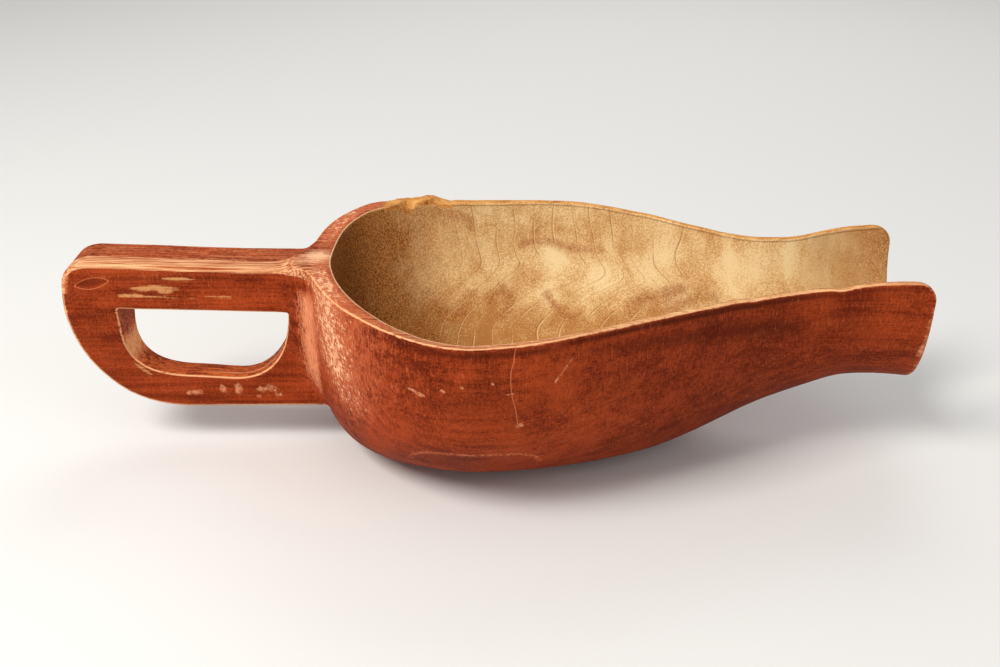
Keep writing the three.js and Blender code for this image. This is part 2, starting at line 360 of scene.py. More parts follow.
def surface_net(axes, values):
    """A closed quad mesh along the grid's zero, with a vertex in each cell that the surface passes through."""
    inside = values < 0
    shape = [n - 1 for n in values.shape]
    corner_at = [(i, j, k) for i in (0, 1) for j in (0, 1) for k in (0, 1)]
    window = lambda i, j, k: inside[i:i + shape[0], j:j + shape[1], k:k + shape[2]]
    count = sum(window(*c).astype(np.int8) for c in corner_at)
    cells = np.nonzero((count > 0) & (count < 8))
    number = np.full(shape, -1, np.int32)
    number[cells] = np.arange(len(cells[0]))
    corners = {c: values[tuple(cell + d for cell, d in zip(cells, c))] for c in corner_at}
    total, hits = np.zeros((len(cells[0]), 3)), np.zeros(len(cells[0]))
    for a in corner_at:
        for axis in range(3):
            if a[axis]:
                continue
            b = tuple(v + (k == axis) for k, v in enumerate(a))
            crossed = (corners[a] < 0) != (corners[b] < 0)
            t = np.where(crossed, corners[a] / np.where(crossed, corners[a] - corners[b], 1), 0)
            place = np.array(a, float)[None].repeat(len(t), 0)
            place[:, axis] += t
            total += place * crossed[:, None]
            hits += crossed
    spots = np.stack(cells, 1) + total / hits[:, None]
    points = np.array([a[0] for a in axes]) + GRID * spots

    quads = []
    for axis in range(3):
        u, v = (axis + 1) % 3, (axis + 2) % 3
        first = np.take(inside, range(inside.shape[axis] - 1), axis)
        second = np.take(inside, range(1, inside.shape[axis]), axis)
        for leaving in (True, False):
            edges = np.nonzero((first & ~second) if leaving else (~first & second))
            ring = []
            for du, dv in ((0, 0), (1, 0), (1, 1), (0, 1)):
                cell = list(edges)
                cell[u] = edges[u] - du
                cell[v] = edges[v] - dv
                ring.append(number[tuple(cell)])
            quads.append(np.stack(ring if leaving else ring[::-1], 1))
    return points, np.concatenate(quads)


def gradient(field, points, reach=0.4):
    """The field's slope along each axis."""
    rise = []
    for axis in range(3):
        offset = np.zeros(3)
        offset[axis] = reach
        ahead, behind = (points + offset).T, (points - offset).T
        rise.append((field(*ahead) - field(*behind)) / (2 * reach))
    return np.stack(rise, 1)


def settle(field, points):
    """Moves each point onto the surface, along the field's slope, and gives the surface's normals."""
    slope = gradient(field, points)
    move = field(*points.T)[:, None] * slope / np.maximum((slope**2).sum(1), LEAST_SLOPE_SQUARED)[:, None]
    points = points - np.clip(move, -GRID, GRID)
    slope = gradient(field, points)
    return points, slope / np.linalg.norm(slope, axis=1)[:, None]


# ---- Marks of age, and painted shade -----------------------------------------------------------------------
GRIP_STREAKS = [  # scraped along the handle's near side: path in side view, and half width
    ([(-191, 103), (-178, 103.6), (-165, 103)], 1.7),
    ([(-176, 101), (-168, 101.4)], 1.3),
    ([(-199, 99.2), (-185, 99.9)], 1.3),
    ([(-173, 109.2), (-155, 108.8)], 1.1),
    ([(-197, 99), (-150, 97)], 0.6),
    ([(-150, 98.5), (-134, 98)], 0.7),
    ([(-197, 53), (-188, 44.5)], 1.3),
    ([(-206, 111.5), (-206, 111)], 0.9),
]
GRIP_SCUFFS = [  # dabs on the lower bar
    ([(-168, 33.2), (-161, 33.4)], 1.7), ([(-148, 36.4), (-146.5, 34.4)], 2.3),
    ([(-139, 37.5), (-138.6, 34)], 2.2), ([(-126, 35.4), (-124, 35)], 2.0),
    ([(-120.6, 36.6), (-118, 35.6)], 2.4), ([(-116, 31.4), (-114.6, 31.4)], 1.9),
    ([(-127, 30.8), (-126.5, 30.8)], 1.3),
]
BOWL_SCUFFS = [  # dabs and nicks on the bowl's near side
    ([(-31.7, 85.5), (-27.6, 84.3), (-23.6, 82.8)], 1.2), ([(-14.3, 87.8), (-13.3, 87.6)], 1.0),
    ([(-4.7, 90.7), (-3.7, 90.6)], 0.9), ([(11.1, 92.8), (12, 92.6)], 0.8),
    ([(43, 90), (47, 95.5), (51, 101.5)], 0.8), ([(24.2, 63.6), (25.6, 64.6)], 1.5),
    ([(18.5, 85.4), (22, 85.2)], 0.6), ([(247.6, 70), (249, 78)], 1.6),
]
CRACK = [(62, 24.4), (75, 23.0), (85, 21.0), (97, 20.4), (105, 21.9), (112, 22.8)]  # height, x
GOUGE_MIDDLE, GOUGE_HALF, GOUGE_TILT = (-212.6, 106.4), (10.2, 3.3), 0.16  # a lens-shaped scar on the grip
WORN_HEEL = [(-80, 114), (-76.5, 97), (-74.5, 80), (-72, 68), (-65, 57)]  # where the round end is rubbed pale
BRIGHTER = [  # where the near side's paint is brighter: x, z and radius
    (38, 84, 17), (58, 60, 17), (14, 50, 20), (-40, 46, 18), (186, 104, 14), (226, 88, 16),
]
STAINS = [  # on the hollow's far wall: path in side view, and half width
    ([(30, 86), (45, 88.5), (60, 84.5), (78, 86)], 3.3), ([(97, 53), (106, 62), (117, 65), (128, 73)], 4.5),
    ([(112, 55), (124, 60), (137, 70), (146, 72)], 4.0), ([(-22, 46), (-16, 42), (-9, 46), (-4, 53)], 5.0),
    ([(9, 51), (16, 58), (22, 52), (21, 45), (14, 43)], 4.0), ([(-14, 105), (-6, 103), (-3, 96)], 3.5),
    ([(46, 55), (53, 47), (60, 44)], 3.5),
]
PALE_SPOTS = [  # on the hollow's far wall: x, y, z and radius
    (51, 94, 78, 9), (82, 81, 70, 10), (105, 71, 78, 9), (49, 86, 55, 9), (119, 63, 90, 9),
    (160, 42, 92, 14), (185, 38, 98, 16),
]
FAR_AWAY = 9  # limit of the signed distances that are stored with the mesh
MEAN_CUT, WAVES, RIPPLES = 0.28, 0.22, 0.07  # the relief all over: its mean depth and its two sizes of wave
LIP_CUT, SCAR_CUT, SCAR_RIDGE, DENT_CUT = 0.75, 0.6, 0.2, 0.55  # how deep the marks cut, or how high they stand
SCRAPE_CUT, CRACK_CUT, RAW_CUT = 0.2, 0.35, 0.35
CAD_LOW, CAD_HIGH = (np.array(corner) / MM for corner in CAD_BOX)

crack_x = along(CRACK)


def path_distance(x, z, path):
    """Distance from a path in side view."""
    best = np.full(x.shape, 1e9)
    for (x0, z0), (x1, z1) in zip(path, path[1:]):
        ex, ez = x1 - x0, z1 - z0
        t = np.clip(((x - x0) * ex + (z - z0) * ez) / (ex * ex + ez * ez), 0, 1)
        best = np.minimum(best, np.hypot(x - x0 - t * ex, z - z0 - t * ez))
    return best


def strokes(x, z, marks, taper=0.9):
    """1 along any of the marks, each a path and a half width, and 0 a little beyond them.

    With a taper, a mark also falls away towards its ends.
    """
    best = np.zeros(x.shape)
    for path, half in marks:
        (x0, z0), (x1, z1) = path[0], path[-1]
        reach = math.hypot(x1 - x0, z1 - z0) / 2 + half
        from_middle = np.hypot(x - (x0 + x1) / 2, z - (z0 + z1) / 2) / reach
        share = 1.6 - path_distance(x, z, path) / half - taper * from_middle**2
        best = np.maximum(best, np.clip(share, 0, 1))
    return best


def convexity(points, normals, reach):
    """How sharply the surface bends away, from the field at that reach to each side.

    It is 0 where the surface is flat, and under 0 in an inner corner.
    """
    sideways = np.cross(normals, (0.31, 0.17, 0.93))  # a slanted direction, which hardly any normal has
    sideways /= np.linalg.norm(sideways, axis=1)[:, None]
    other = np.cross(normals, sideways)
    return sum(scoop_field(*(points + way * reach).T) for way in (sideways, -sideways, other, -other)) / reach


def find_marks(points, normals):
    """Each vertex's share of every kind of mark, and how far each stands above the smooth surface."""
    x, y, z = points.T
    _, ny, nz = normals.T
    outside, hollow, grip = bowl_outside(x, y, z), bowl_hollow(x, y, z), handle(x, y, z)
    near = step(-y, 2, 6)
    below_rim = rim_top(x, y) - z
    on_handle = step(-x, 86, 98)
    on_bowl = 1 - on_handle
    outer_face = step(hollow, 2.5, 4.5)
    front_face = near * step(-ny, 0.3, 0.7)

    # Wear: along the edges, on the grip, on the rim and where the scoop rests, with a pale patch in the hand
    # hole, and the handle's top paler with rubbing and painted highlight.
    edges = step(convexity(points, normals, 2.2), 0.3, 0.95)
    edges = edges * (1 - 0.6 * (1 - near) * on_handle * (z > 105)) * (1 - 0.5 * near * step(x, 205, 230))
    under_top, from_side = -loop_field(x, z), handle_half(z) - np.abs(y)
    band = (z > 100) * step(-x, 78, 92) * (1 - step(under_top, 2.0, 3.6)) * (1 - step(from_side, 12, 17))
    band *= near * (0.85 + 0.15 * step(-x, 100, 200)) * (0.7 + 0.3 * step(-x, 92, 112))
    grip_end = step(-x, 222, 231) * step(z, 92, 108)
    rim_face = step(nz, 0.5, 0.85) * (1 - step(below_rim, 1.2, 2.6)) * on_bowl
    thin_rim = rim_face * (0.42 + 0.2 * near * step(x, -42, -20))
    bare_rim = rim_face * near * step(x, -46, -26)
    in_hole = on_handle * (hole_field(x, z) < 2.5) * step(-np.abs(ny), -0.8, -0.5)
    # A pale patch low on the hand hole's rear wall.
    hole_pale_patch = in_hole * bump(np.hypot(x + 197, z - 63), 0, 11)
    mouth_end = step(x, 245, 250) * (1 - 0.5 * step(z, 90, 105))
    underside = (1 - step(z, 0.3, 1.6)) * step(-nz, 0.8, 0.95)
    # The handle's upward faces are paler: paint rubbed thin, and a painted highlight from above.
    top_rub_and_highlight = 0.35 * on_handle * step(nz, 0.6, 0.9) * (z > 100)
    worn = [
        0.85 * edges * (1 - in_hole), 0.9 * grip_end, thin_rim, 0.45 * mouth_end, 0.8 * underside,
        0.8 * hole_pale_patch, top_rub_and_highlight,
    ]
    worn = np.max(worn, axis=0)

    # Signed distances to the lines that run along the edges.
    edged = (hollow > 1.5) & (x > -88) & (np.abs(y) > 15) & ((y < 0) | (x > -74))
    rim_edge = np.where(edged, below_rim + body_field(x, y, z), FAR_AWAY)
    loop_edge = np.clip(from_side - under_top + 0.8 * (1 - step(z, 88, 104)), -FAR_AWAY, FAR_AWAY)
    hole_edge = np.clip(from_side - hole_field(x, z), -FAR_AWAY, FAR_AWAY)

    # The hollows of the neck, with a pale strip that is partly rubbed paint and partly painted highlight,
    # and the bowl's rubbed heel.
    from_crease = outside - grip + 5
    # The strip spreads further onto the bowl's side of the hollow, brightening it as painted highlight.
    fillet = bump(from_crease, 0, np.where(from_crease > 0, 9.5, 17))
    fillet = fillet * step(z, 20, 50) * step(-x, 62, 78) * outer_face
    fillet *= 1 - step(z, 98, 110)
    fillet *= step(np.abs(ny), 0.25, 0.55) * (1 - step(nz, 0.2, 0.6))
    neck_top = bump(np.hypot(x + 88, y + 3), 0, 10) * step(z, 105, 110)
    heel = np.clip(1.3 - path_distance(x, z, WORN_HEEL) / 14, 0, 1) * step(np.abs(y), 12, 26)
    heel *= outer_face * on_bowl * (0.8 + 0.2 * near) * (0.74 + 0.26 * step(z, 58, 84))
    heel_wide = bump(x, -66, 25) * step(z, 42, 84) * outer_face * step(np.abs(y), 10, 24) * on_bowl

    # Scrapes, dabs, the crack, and the lens-shaped scar, whose share is under 0 outside it.
    scuffs = front_face * on_handle * strokes(x, z, GRIP_STREAKS)
    grip_dabs = on_handle * strokes(x, z, GRIP_SCUFFS, 0)
    bowl_dabs = on_bowl * outer_face * strokes(x, z, BOWL_SCUFFS, 0)
    dabs = front_face * np.maximum(grip_dabs, bowl_dabs)
    crack = np.clip(x - crack_x(z), -FAR_AWAY, FAR_AWAY)
    crack_near = near * outer_face * step(z, 61, 63) * (np.abs(crack) < 5)
    across = (x - GOUGE_MIDDLE[0]) / GOUGE_HALF[0]
    up = (z - GOUGE_MIDDLE[1] - GOUGE_TILT * (x - GOUGE_MIDDLE[0])) / GOUGE_HALF[1]
    gouge = np.where(front_face > 0.3, 1 - across**2 - np.abs(up), -1)

    # Painted shade: under the near lip, in the hand hole, in a streak along the bowl, over the bowl's side, on
    # the pared strip, which faces down, and low on the near side. Also a darker line below the grip's band, and
    # a darker patch.
    lip = near * on_bowl * outer_face * step(x, -44, -36)
    # Painted shade under the near lip: broad at first, then a thin line.
    under_lip = lip * bump(below_rim, 5.2, 2.6) * (1 - step(x, 30, 60))
    thin_shadow = lip * bump(below_rim, 3.6, 1.4) * step(x, 30, 60) * (1 - 0.6 * step(x, 150, 200))
    pared = np.clip(pared_field(x, y, z) - outside, -FAR_AWAY, FAR_AWAY)
    pared_face = step(pared, -0.1, 0.25) * (z > 18) * (z < 50) * near
    # Painted shade in a streak along the bowl's near side.
    shade_streak_height = 104 - 0.11 * (x - 65)
    shade_streak = near * outer_face * on_bowl * step(x, 50, 75) * (1 - step(x, 165, 190))
    shade_streak = shade_streak * bump(z, shade_streak_height, 5) * 0.5
    # A darker streaky line just below the grip's band.
    below_band = near * step(-x, 104, 120) * bump(z, 109.5, 2.4) * (1 - step(-x, 200, 215)) * 0.7
    below_band *= np.clip(0.8 + noise((x, y, z), (26, 9, 2.4), 45), 0, 1)
    # Painted shade in the hand hole, less over its pale patch.
    hole_shade = 0.35 * in_hole * (1 - 0.8 * hole_pale_patch)
    painted_shade_and_darkening = np.max([0.8 * under_lip, hole_shade, shade_streak, thin_shadow], axis=0)
    # Painted shade over the bowl's side, growing towards the mouth and easing off at the mouth end.
    painted_shade_and_darkening = painted_shade_and_darkening + outer_face * on_bowl * step(x, -20, 190) * 0.42 * (1 - 0.8 * step(x, 210, 245))
    painted_shade_and_darkening += 0.8 * below_band
    # Painted shade on the pared strip, which faces down, and low on the near side.
    painted_shade_and_darkening += 0.25 * pared_face + 0.16 * outer_face * on_bowl * (1 - step(z, 20, 60)) * near
    # A darker patch on the bowl's near side.
    painted_shade_and_darkening += 0.35 * bump(x, -4, 22) * bump(z, 82, 14) * outer_face * near * on_bowl
    brighter = [bump(np.hypot(x - cx, z - cz), 0, radius) for cx, cz, radius in BRIGHTER]
    brighter = np.max(brighter, axis=0) * near * on_bowl

    # Wood that was never painted: the broken rim, and the hollow's stains, pale spots and growth lines.
    raw_edge = below_rim - 2.5 * noise((x, y, z), 5, 7) - 4 * bump(x, -43, 5)
    raw = far_break(x, y) * (1 - step(raw_edge, 3.2, 4.4))
    raw = np.maximum(raw, 0.75 * rim_face * step(y, 10, 25) * step(x, BROKEN_FROM, BROKEN_TO))
    stains = [bump(path_distance(x, z, path), 0, 1.3 * half) for path, half in STAINS]
    stains = np.max(stains, axis=0) * step(y, 5, 20)
    distance = lambda a, b, c: np.sqrt((x - a) ** 2 + (y - b) ** 2 + (z - c) ** 2)
    pale = np.max([bump(distance(a, b, c), 0, radius) for a, b, c, radius in PALE_SPOTS], axis=0)
    figure = x + 34 * step(-z, -76, -34) - (3 + 0.08 * np.clip(x, 0, 120)) * bump(z, 71, 9)
    figure += 9 * noise((x, y, z), 62, 21) + 2.6 * noise((x, y, z), 21, 22)

    # Relief: tool waves all over, and the marks that cut into the wood.
    relief = -MEAN_CUT - WAVES * noise((x, y, z), (42, 20, 20), 41) - RIPPLES * noise((x, y, z), (14, 6, 6), 42)
    relief -= LIP_CUT * under_lip + SCAR_CUT * np.clip(gouge * 2.4, 0, 1) - SCAR_RIDGE * bump(gouge, 0, 0.16)
    dents = np.clip(noise((x + 0.6 * z, y, z - 0.6 * x), (2.4, 5, 6.0), 31) - 0.15, 0, 1)
    cuts = DENT_CUT * dents * np.clip(heel, 0, 1) + SCRAPE_CUT * np.maximum(scuffs, dabs)
    relief -= cuts + CRACK_CUT * bump(crack, 0, 0.7) * crack_near
    relief -= RAW_CUT * np.minimum(raw, far_break(x, y)) * (1 + noise((x, y, z), (6, 1.5, 1.5), 43))
    marks = {
        "hollow": np.clip(hollow, -1, FAR_AWAY), "below_rim": np.clip(below_rim, -2, 40),
        "worn": worn, "band": band, "rim": bare_rim, "in_hole": in_hole, "hole_pale_patch": hole_pale_patch,
        "rim_edge": rim_edge, "loop_edge": loop_edge, "hole_edge": hole_edge,
        "fillet": fillet, "neck_top": neck_top, "heel": heel, "heel_wide": heel_wide,
        "scuffs": scuffs, "dabs": dabs, "crack": crack, "crack_near": crack_near, "gouge": gouge,
        "pared": pared, "painted_shade_and_darkening": painted_shade_and_darkening, "brighter": brighter,
        "raw": raw, "stains": stains, "pale": pale, "figure": figure,
    }
    return marks, relief


def make_scoop():
    """The scoop's mesh, with its marks as attributes."""
    axes, values = sample_grid(scoop_field, CAD_LOW - 3, CAD_HIGH + 3)
    points, quads = surface_net(axes, values)
    points, normals = settle(scoop_field, points)
    marks, relief = find_marks(points, normals)
    points = np.clip(points + normals * relief[:, None], CAD_LOW + 0.02, CAD_HIGH - 0.02)

    mesh = bpy.data.meshes.new("carved_scoop")
    mesh.vertices.add(len(points))
    mesh.vertices.foreach_set("co", (points * MM).ravel())
    mesh.loops.add(quads.size)
    mesh.loops.foreach_set("vertex_index", quads.ravel())
    mesh.polygons.add(len(quads))
    mesh.polygons.foreach_set("loop_start", np.arange(0, quads.size, 4))
    mesh.update(calc_edges=True)
    mesh.validate()
    mesh.shade_smooth()
    for name, share in marks.items():
        mesh.attributes.new(name, "FLOAT", "POINT").data.foreach_set("value", share.astype(np.float32))
    scoop = bpy.data.objects.new("carved_scoop", mesh)
    bpy.context.collection.objects.link(scoop)
    return scoop


# ---- The wood and its paint --------------------------------------------------------------------------------
def srgb(red, green, blue):
    """A colour for a shader, from the 0 to 255 scale that screens use."""
    parts = [c / 255 for c in (red, green, blue)]
    return (*((c / 12.92 if c <= 0.04045 else ((c + 0.055) / 1.055) ** 2.4) for c in parts), 1)


PAINT_DEEP, PAINT_BRIGHT, PAINT_SHADED_AND_DARKENED = srgb(92, 26, 6), srgb(176, 71, 31), srgb(80, 23, 6)
THIN_PAINT, THINNEST_PAINT = srgb(168, 80, 42), srgb(204, 122, 78)
BARE_DULL, BARE_BRIGHT = srgb(196, 128, 84), srgb(240, 186, 138)
RUBBED_AND_HIGHLIGHT_WASH, FLECK, FLECK_BRIGHT = srgb(206, 106, 66), srgb(232, 158, 116), srgb(252, 208, 166)
NECK_STRIP, NECK_PATCH = srgb(240, 160, 116), srgb(252, 196, 154)
HOLE_STREAK, HOLE_PATCH = srgb(226, 118, 54), srgb(255, 190, 124)
SCRAPED, DABBED = srgb(222, 160, 102), srgb(232, 156, 116)
FINE_LINE, SCAR_SHADE = srgb(218, 122, 78), srgb(96, 32, 12)
RIM_PINK_DULL, RIM_PINK = srgb(136, 67, 37), srgb(202, 130, 86)
RIM_CREAM_DULL, RIM_CREAM = srgb(200, 134, 78), srgb(242, 196, 138)
EDGE_LINE, INNER_EDGE_PALE, INNER_EDGE_SHADE = srgb(244, 184, 134), srgb(252, 208, 162), srgb(150, 92, 50)
MAPLE_DULL, MAPLE, MAPLE_PALE = srgb(178, 120, 64), srgb(228, 188, 128), srgb(250, 226, 174)
STAIN_DARK, STAIN_LIGHT = srgb(138, 70, 26), srgb(190, 122, 66)
SHADED_DIRT_DARK, SHADED_DIRT_LIGHT = srgb(98, 48, 10), srgb(218, 144, 68)
CORNER_SHADE_DARK, CORNER_SHADE_LIGHT = srgb(26, 10, 1), srgb(138, 84, 34)
MOUTH_DARK, MOUTH_LIGHT = srgb(132, 66, 22), srgb(196, 134, 72)
RING_DARK, RING_DULL, RING_PALE = srgb(146, 80, 32), srgb(226, 172, 108), srgb(252, 222, 168)
RAW_DARK, RAW_ORANGE, RAW_PALE = srgb(142, 78, 34), srgb(214, 148, 76), srgb(238, 190, 124)
LIP_DULL, LIP_PALE, LIP_SHADE = srgb(176, 112, 56), srgb(238, 196, 132), srgb(128, 62, 18)
RING_SPACING = 12.6  # mm between growth lines


class Nodes:
    """Adds nodes to one material. Every value is a number, a colour or another node's output."""

    def __init__(self, material):
        material.use_nodes = True
        self.tree = material.node_tree
        self.shader = self.tree.nodes["Principled BSDF"]
        self.place = self.add("ShaderNodeTexCoord", {}).outputs["Object"]

    def wire(self, socket, value):
        if isinstance(value, bpy.types.NodeSocket):
            self.tree.links.new(value, socket)
        else:
            socket.default_value = value

    def add(self, kind, inputs, **settings):
        """A new node, with a value for each of the named or numbered inputs."""
        node = self.tree.nodes.new(kind)
        for name, value in settings.items():
            setattr(node, name, value)
        for socket, value in inputs.items():
            self.wire(node.inputs[socket], value)
        return node

    def math(self, operation, *values):
        return self.add("ShaderNodeMath", dict(enumerate(values)), operation=operation).outputs[0]

    def plus(self, *terms):
        """The sum of terms, each a value or a (value, factor) pair."""
        total = 0.0
        for term in terms:
            value, factor = term if isinstance(term, tuple) else (term, 1.0)
            total = self.math("MULTIPLY_ADD", value, factor, total)
        return total

    def times(self, first, *others):
        for other in others:
            first = self.math("MULTIPLY", first, other)
        return first

    def most(self, first, *others):
        for other in others:
            first = self.math("MAXIMUM", first, other)
        return first

    def step(self, value, low, high):
        """0 at low and 1 at high, smoothly."""
        inputs = {"Value": value, "From Min": low, "From Max": high}
        return self.add("ShaderNodeMapRange", inputs, interpolation_type="SMOOTHSTEP").outputs[0]

    def line(self, value, half_width):
        """1 where value is 0, falling to 0 at half_width."""
        return self.step(self.math("ABSOLUTE", value), half_width, half_width * 0.35)

    def mix(self, share, first, second):
        inputs = {0: share, 6: first, 7: second}
        return self.add("ShaderNodeMix", inputs, data_type="RGBA").outputs[2]

    def mix_value(self, share, first, second):
        return self.add("ShaderNodeMix", {0: share, 2: first, 3: second}, data_type="FLOAT").outputs[0]

    def mark(self, name):
        """A mark that the mesh stores."""
        return self.add("ShaderNodeAttribute", {}, attribute_name=name).outputs["Fac"]

    def noise(self, size, seed, detail=2.0, roughness=0.5, lean=(0, 0, 0)):
        """Noise about 0, from around -0.5 to 0.5, with features of that size in mm along each axis."""
        spread = [1 / (s * MM) for s in size] if isinstance(size, tuple) else [1 / (size * MM)] * 3
        shift = (seed * 7.3, seed * 3.1, seed)
        mapping = {"Vector": self.place, "Scale": spread, "Rotation": lean, "Location": shift}
        place = self.add("ShaderNodeMapping", mapping).outputs[0]
        inputs = {"Vector": place, "Scale": 1.0, "Detail": detail, "Roughness": roughness}
        return self.math("SUBTRACT", self.add("ShaderNodeTexNoise", inputs).outputs["Fac"], 0.5)


# ---- The material's layers ---------------------------------------------------------------------------------
# In each function n adds the nodes, and s holds the parts that layers share.
def shared_parts(n):
    """The place in metres, and the noises that several layers share, by name."""
    x, y, z = n.add("ShaderNodeSeparateXYZ", {0: n.place}).outputs
    return SimpleNamespace(
        x=x, y=y, z=z,
        stipple=n.noise(0.95, 1, detail=3, roughness=0.7),
        grain=n.noise((38, 1.1, 1.1), 2, detail=3, roughness=0.6),
        brush=n.noise((60, 4.5, 4.5), 3, detail=3, roughness=0.6),
        hatch=n.noise((1.0, 1.0, 6.0), 4, detail=2, roughness=0.6),
        blotch=n.noise(26, 5, detail=3, roughness=0.55),
        speck=n.noise(2.6, 6, detail=4, roughness=0.7),
        clouds=n.noise(17, 10, detail=3, roughness=0.6),
    )


def milk_paint(n, s):
    """Milk paint: brown-red, brushed along the scoop, and darker with the painted shade and the darker patches
    that the mesh marks.
    """
    on_bowl = n.step(s.x, -0.11, -0.085)
    weave = n.plus((n.times(s.hatch, on_bowl), 0.5), (s.hatch, 0.15), (s.grain, 0.65), (s.stipple, 1.3))
    tone = n.plus(0.385, (s.blotch, 0.8), (s.brush, 0.9), weave, (n.mark("brighter"), 0.2))
    tone = n.plus(tone, (n.mark("painted_shade_and_darkening"), -0.12))
    paint = n.mix(n.step(tone, -0.1, 0.9), PAINT_DEEP, PAINT_BRIGHT)
    # The darkest red comes with the painted shade and the darker patches that the mesh marks.
    shaded_and_darkened = n.plus(n.mark("painted_shade_and_darkening"), (s.brush, 0.7), (s.stipple, 0.4), (s.blotch, 0.3))
    return n.mix(n.times(n.step(shaded_and_darkened, 0.05, 1.25), 0.85), paint, PAINT_SHADED_AND_DARKENED)


def worn_paint(n, s, wear):
    """The paint, rubbed thin and then through to the maple along the edges and the grip's near side."""
    bare = n.mix(n.step(n.plus(s.grain, (s.stipple, 0.4)), -0.22, 0.22), BARE_DULL, BARE_BRIGHT)
    thin = n.mix(n.step(s.grain, -0.25, 0.25), THIN_PAINT, THINNEST_PAINT)
    outer = n.mix(n.step(wear, 0.26, 0.52), milk_paint(n, s), thin)
    outer = n.mix(n.step(wear, 0.52, 0.8), outer, bare)
    rubbed_band = n.step(n.plus(n.mark("band"), s.grain, (s.speck, 0.4)), 0.3, 0.9)
    streaks = n.step(n.plus(s.grain, (s.brush, 0.6)), -0.2, 0.16)
    return n.mix(rubbed_band, outer, n.mix(streaks, thin, bare))


def rub_heel_and_neck(n, s, outer):
    """The bowl's rubbed heel, in pale flecks with paint left between them, and the neck's pale hollows, partly
    rubbed paint and partly painted highlight.

    Gives the colour, and the heel's share of flecks.
    """
    flecks = n.noise((1.9, 1.9, 5.0), 7, detail=4, roughness=0.75, lean=(0, 0.55, 0))
    turned = n.noise((7, 7, 1.1), 15, detail=2, roughness=0.6, lean=(0, 0.3, 0))
    heel, heel_wide, fillet, neck_top = (n.mark(name) for name in ("heel", "heel_wide", "fillet", "neck_top"))
    # A pale wash: rubbed paint on the heel, and rubbed paint with painted highlight in the neck.
    light_wash = n.plus((heel, 0.6), (heel_wide, 0.6), (fillet, 0.9))
    light_wash = n.plus(light_wash, (s.hatch, 1.4), s.stipple, (s.brush, 0.8))
    outer = n.mix(n.times(n.step(light_wash, 0.1, 0.9), 0.6), outer, RUBBED_AND_HIGHLIGHT_WASH)
    cover = n.plus((heel, 0.85), (heel_wide, 0.4), (flecks, 2.8), (s.speck, 2.1))
    cover = n.plus(cover, (s.hatch, 1.2), (turned, 1.5), -0.84)
    on_heel = n.step(n.plus(heel, heel_wide), 0.04, 0.3)
    rubbed = n.times(n.step(cover, 0.0, 0.42), on_heel)
    outer = n.mix(n.times(rubbed, 0.85), outer, FLECK)
    outer = n.mix(n.times(n.step(cover, 0.35, 0.8), on_heel, 0.7), outer, FLECK_BRIGHT)
    # The neck's pale strip: rubbed paint and painted highlight.
    strip = n.plus(fillet, (s.hatch, 1.5), (flecks, 0.8), s.stipple)
    outer = n.mix(n.times(n.step(strip, 0.2, 1.5), n.step(fillet, 0.0, 0.6), 0.85), outer, NECK_STRIP)
    patch = n.plus((neck_top, 1.2), (s.grain, 0.6), (s.brush, 0.5), (s.speck, 0.9))
    patch = n.times(n.step(patch, 0.25, 1.2), n.step(neck_top, 0.0, 0.3), 0.8)
    return n.mix(patch, outer, NECK_PATCH), rubbed


def rub_hand_hole(n, s, outer):
    """The hand hole's inner wall, streaked, with one bright patch."""
    in_hole, hole_pale_patch = n.mark("in_hole"), n.mark("hole_pale_patch")
    streaks = n.plus(in_hole, (s.grain, 1.8), (s.speck, 0.9))
    outer = n.mix(n.times(n.step(streaks, 0.75, 1.35), in_hole, 0.7), outer, HOLE_STREAK)
    patch = n.plus((hole_pale_patch, 1.2), (s.hatch, 2.0), (s.speck, 1.4))
    return n.mix(n.times(n.step(patch, 0.6, 1.2), hole_pale_patch, 0.9), outer, HOLE_PATCH)


def scrapes_and_fine_lines(n, s, outer):
    """Scrapes and dabs whose edges break up, the crack, the scar at the grip's end with painted shade in it,
    and the pared strip's edge.

    Gives the colour, and the crack's share.
    """
    scuffs, dabs, gouge = n.mark("scuffs"), n.mark("dabs"), n.mark("gouge")
    scraped = n.step(n.plus(scuffs, (s.speck, 1.6), (s.grain, 2.6)), 0.4, 1.3)
    outer = n.mix(n.times(scraped, n.step(scuffs, 0.0, 0.3), 0.75), outer, SCRAPED)
    dabbed = n.step(n.plus(dabs, (s.speck, 2.6)), 0.45, 1.4)
    outer = n.mix(n.times(dabbed, n.step(dabs, 0.0, 0.3), 0.75), outer, DABBED)
    crack = n.times(n.line(n.mark("crack"), 0.45), n.mark("crack_near"))
    broken = n.step(n.plus((s.speck, 2.2), s.stipple, 0.5), 0.3, 0.7)
    strip_edge = n.times(n.line(n.mark("pared"), 0.3), broken, n.step(s.z, 0.029, 0.031), 0.8)
    fine_lines = n.most(n.times(crack, 0.85), n.times(n.line(gouge, 0.12), 0.7), strip_edge)
    # Painted shade fills the scar's hollow.
    outer = n.mix(n.times(n.step(gouge, 0.0, 0.5), 0.5), outer, SCAR_SHADE)
    return n.mix(n.times(fine_lines, 0.8), outer, FINE_LINE), crack


